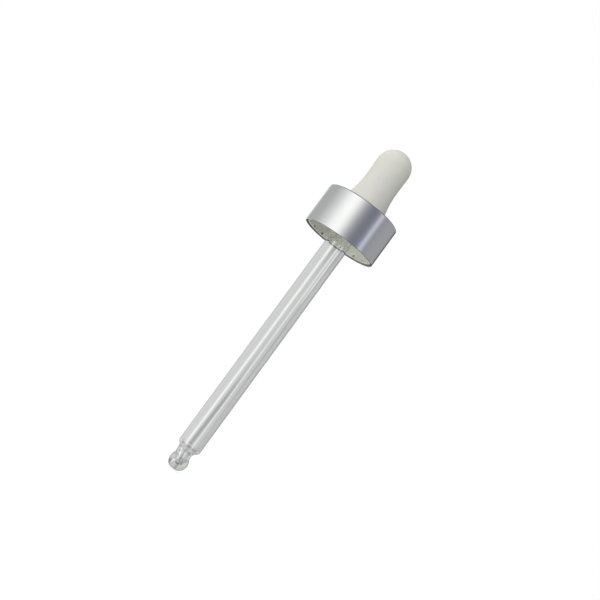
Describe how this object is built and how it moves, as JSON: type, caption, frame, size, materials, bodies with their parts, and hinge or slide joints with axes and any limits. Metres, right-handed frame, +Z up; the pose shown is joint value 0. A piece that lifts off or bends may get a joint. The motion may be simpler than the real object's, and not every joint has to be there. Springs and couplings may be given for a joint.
{
  "type": "medicine dropper",
  "caption": "Screw-on medicine dropper: rubber squeeze bulb, satin metal collar over a threaded plastic insert, and a long glass pipette with a ball tip.",
  "frame": {"origin": "centre of the pipette's open end, the lowest point of the part, on the dropper's axis", "axes": "+Z up along the pipette towards the bulb; +X is the direction the bulb is pinched along; +Y completes the right hand"},
  "size_m": [0.0228, 0.0228, 0.1088],
  "materials": {
    "collar_aluminium": "satin anodised, drawn shell",
    "insert_plastic": "natural polypropylene, translucent grey green",
    "pipette_glass": "clear drawn tube, flame polished tip",
    "bulb_rubber": "matte off-white"
  },
  "bodies": {
    "closure": {"collar_shell": "collar_aluminium", "threaded_insert": "insert_plastic"},
    "pipette": {"glass_pipette": "pipette_glass"},
    "bulb": {"rubber_bulb": "bulb_rubber"}
  },
  "joints": [
    {"name": "collar_swivel", "type": "hinge", "parent": "closure", "child": "pipette", "pos_m": [0, 0, 0.0891], "axis": [0, 0, 1], "continuous": true},
    {"name": "bulb_squeeze", "type": "slide", "parent": "pipette", "child": "bulb", "axis": [1, 0, 0], "range_m": [0, 0.0034], "stiffness_N_per_m": 900, "deforming": ["rubber_bulb"]}
  ]
}
